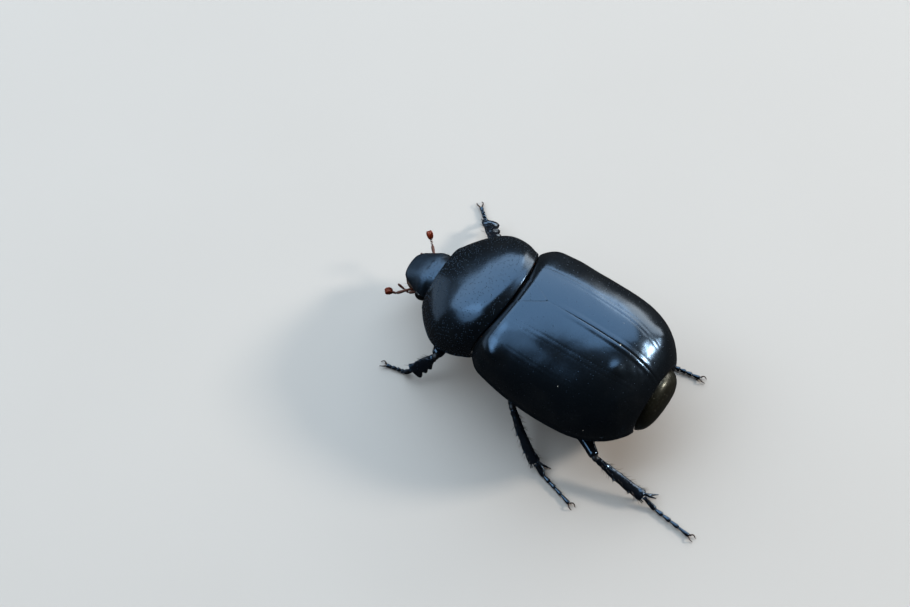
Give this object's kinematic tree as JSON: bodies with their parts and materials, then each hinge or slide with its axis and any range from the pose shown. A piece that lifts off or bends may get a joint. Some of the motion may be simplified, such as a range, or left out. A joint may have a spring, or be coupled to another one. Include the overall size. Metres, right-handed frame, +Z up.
{
  "type": "scarab beetle",
  "caption": "Black scarab beetle, life size, walking with legs spread: arched wing cases, broad shield, small head, jointed toothed legs and clubbed feelers.",
  "frame": {"origin": "middle of the beetle's outline, on the ground", "axes": "+Y towards the tail, +X towards the beetle's left, +Z up"},
  "size_m": [0.0168, 0.0264, 0.0091],
  "materials": {
    "black_shell": "glossy blue-black horn, finely pitted",
    "dark_underside": "dark brown-black horn with sparse rust hairs",
    "black_limb": "glossy black horn with ridges and bristles",
    "eye": "finely faceted gloss black",
    "rust_feeler": "rust red, slightly translucent looking horn"
  },
  "bodies": {
    "root": {"elytron_left": "black_shell", "elytron_right": "black_shell", "scutellum": "black_shell", "pronotum": "black_shell", "pygidium": "black_shell", "head": "black_shell", "prosternum": "dark_underside", "pterothorax": "dark_underside", "abdomen": "dark_underside", "labium": "dark_underside", "coxa_front_left": "dark_underside", "coxa_front_right": "dark_underside", "coxa_middle_left": "dark_underside", "coxa_middle_right": "dark_underside", "coxa_hind_left": "dark_underside", "coxa_hind_right": "dark_underside", "eye_left": "eye", "eye_right": "eye", "antenna_left": "rust_feeler", "antenna_right": "rust_feeler", "club_left": "rust_feeler", "club_right": "rust_feeler", "palp_left": "rust_feeler", "palp_right": "rust_feeler", "mandible_left": "black_limb", "mandible_right": "black_limb", "femur_front_left": "black_limb", "tibia_front_left": "black_limb", "tarsus_front_left": "black_limb", "femur_front_right": "black_limb", "tibia_front_right": "black_limb", "tarsus_front_right": "black_limb", "femur_middle_left": "black_limb", "tibia_middle_left": "black_limb", "tarsus_middle_left": "black_limb", "femur_middle_right": "black_limb", "tibia_middle_right": "black_limb", "tarsus_middle_right": "black_limb", "femur_hind_left": "black_limb", "tibia_hind_left": "black_limb", "tarsus_hind_left": "black_limb", "femur_hind_right": "black_limb", "tibia_hind_right": "black_limb", "tarsus_hind_right": "black_limb"}
  },
  "joints": []
}
